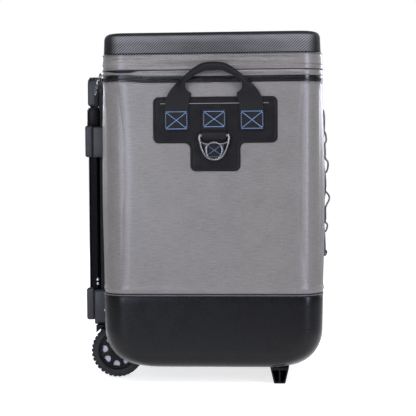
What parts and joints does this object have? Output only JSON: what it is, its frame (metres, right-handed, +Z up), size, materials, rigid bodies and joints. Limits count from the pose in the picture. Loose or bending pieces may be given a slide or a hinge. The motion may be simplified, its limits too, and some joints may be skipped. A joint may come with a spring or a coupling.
{
  "type": "cooler on wheels",
  "caption": "Upright soft cooler on two wheels with a zipped lid, a telescoping trolley handle, side carrying straps with rings and bungee lacing.",
  "frame": {"origin": "centre of the footprint of the whole object, on the floor it stands on", "axes": "+X towards the front with the bungee lacing, -X towards the trolley handle, +Y towards the far strap, +Z up"},
  "size_m": [0.4123, 0.485, 0.573],
  "materials": {
    "shell_fabric": "coated woven cloth, satin",
    "band_fabric": "coated woven cloth, satin",
    "cap_foam": "moulded fabric-faced foam, fine woven grain, semi-gloss",
    "base_rubber": "moulded rubberised base, matt",
    "black_plastic": "moulded, fine grain",
    "tube_black": "black satin anodised tube",
    "patch_rubber": "matt moulded patch",
    "webbing": "woven webbing",
    "zip_black": "coated zip tape",
    "cast_silver": "cast, satin plated",
    "foam": "closed-cell foam",
    "liner_white": "welded white liner sheet",
    "tyre_rubber": "matt rubber",
    "disc_grey": "moulded grey plastic",
    "steel": "turned rod",
    "cord_black": "braided cord"
  },
  "bodies": {
    "cooler_body": {"base_tub": "base_rubber", "base_trim": "shell_fabric", "outer_shell": "shell_fabric", "hinge_panel": "shell_fabric", "body_foam": "foam", "inner_liner": "liner_white", "zip_tape_body": "zip_black", "strap_patch_near": "patch_rubber", "strap_patch_far": "patch_rubber", "strap_end_rear_near": "webbing", "strap_end_rear_far": "webbing", "strap_end_front_near": "webbing", "strap_end_front_far": "webbing", "ring_tab_near": "webbing", "ring_tab_far": "webbing", "lace_strip_near": "webbing", "lace_strip_far": "webbing", "bungee_cord": "cord_black", "cord_lock": "black_plastic", "handle_spine": "black_plastic", "upper_bracket_cap": "black_plastic", "upper_bracket_base": "black_plastic", "lower_bracket_cap": "black_plastic", "lower_bracket_base": "black_plastic", "wheel_carriage": "black_plastic", "stand_bar": "black_plastic", "outer_collar_near": "black_plastic", "outer_collar_far": "black_plastic", "axle_cap_near": "black_plastic", "axle_cap_far": "black_plastic", "outer_tube_near": "tube_black", "outer_tube_far": "tube_black", "axle": "steel"},
    "lid": {"zip_tape_lid": "zip_black", "lid_band": "band_fabric", "lid_cap": "cap_foam", "lid_foam": "foam", "lid_liner": "liner_white"},
    "zip_slider": {"zip_slider": "zip_black"},
    "zip_pull": {"zip_pull": "cord_black"},
    "handle_stage_1": {"middle_tube_near": "tube_black", "middle_tube_far": "tube_black", "middle_collar_near": "black_plastic", "middle_collar_far": "black_plastic"},
    "handle_stage_2": {"inner_tube_near": "tube_black", "inner_tube_far": "tube_black", "grip": "black_plastic"},
    "release_button": {"release_button": "black_plastic"},
    "strap_near": {"strap_arch_near": "webbing"},
    "ring_near": {"ring_near": "cast_silver"},
    "wheel_near": {"tyre_near": "tyre_rubber", "wheel_core_near": "disc_grey", "wheel_cover_near": "black_plastic"},
    "strap_far": {"strap_arch_far": "webbing"},
    "ring_far": {"ring_far": "cast_silver"},
    "wheel_far": {"tyre_far": "tyre_rubber", "wheel_core_far": "disc_grey", "wheel_cover_far": "black_plastic"}
  },
  "joints": [
    {"name": "lid_hinge", "type": "hinge", "parent": "cooler_body", "child": "lid", "pos_m": [-0.1682, 0, 0.509], "axis": [0, 1, 0], "range_deg": [-90, 0]},
    {"name": "zip_slider_travel", "type": "hinge", "parent": "cooler_body", "child": "zip_slider", "pos_m": [-0.1275, -0.175, 0.493], "axis": [0, 0, 1], "range_deg": [0, 75]},
    {"name": "zip_pull_swing", "type": "hinge", "parent": "zip_slider", "child": "zip_pull", "pos_m": [-0.17444, -0.1816, 0.493], "axis": [-0.1392, 0.9903, 0], "range_deg": [0, 100]},
    {"name": "handle_stage_1", "type": "slide", "parent": "cooler_body", "child": "handle_stage_1", "axis": [0, 0, 1], "range_m": [0, 0.24]},
    {"name": "handle_stage_2", "type": "slide", "parent": "handle_stage_1", "child": "handle_stage_2", "axis": [0, 0, 1], "range_m": [0, 0.24]},
    {"name": "release_button_press", "type": "slide", "parent": "handle_stage_2", "child": "release_button", "axis": [0, 0, -1], "range_m": [0, 0.004], "stiffness_N_per_m": 400, "springref_m": -0.002},
    {"name": "strap_near_swing", "type": "hinge", "parent": "cooler_body", "child": "strap_near", "pos_m": [0.0177, -0.22, 0.44465], "axis": [1, 0, 0], "range_deg": [0, 95]},
    {"name": "ring_near_swing", "type": "hinge", "parent": "cooler_body", "child": "ring_near", "pos_m": [0.0177, -0.2229, 0.403], "axis": [-1, 0, 0], "range_deg": [0, 105]},
    {"name": "wheel_near_spin", "type": "hinge", "parent": "cooler_body", "child": "wheel_near", "pos_m": [-0.1535, -0.116, 0.0445], "axis": [0, 1, 0], "continuous": true},
    {"name": "strap_far_swing", "type": "hinge", "parent": "cooler_body", "child": "strap_far", "pos_m": [0.0177, 0.22, 0.44465], "axis": [-1, 0, 0], "range_deg": [0, 95]},
    {"name": "ring_far_swing", "type": "hinge", "parent": "cooler_body", "child": "ring_far", "pos_m": [0.0177, 0.2229, 0.403], "axis": [1, 0, 0], "range_deg": [0, 105]},
    {"name": "wheel_far_spin", "type": "hinge", "parent": "cooler_body", "child": "wheel_far", "pos_m": [-0.1535, 0.116, 0.0445], "axis": [0, 1, 0], "continuous": true}
  ]
}
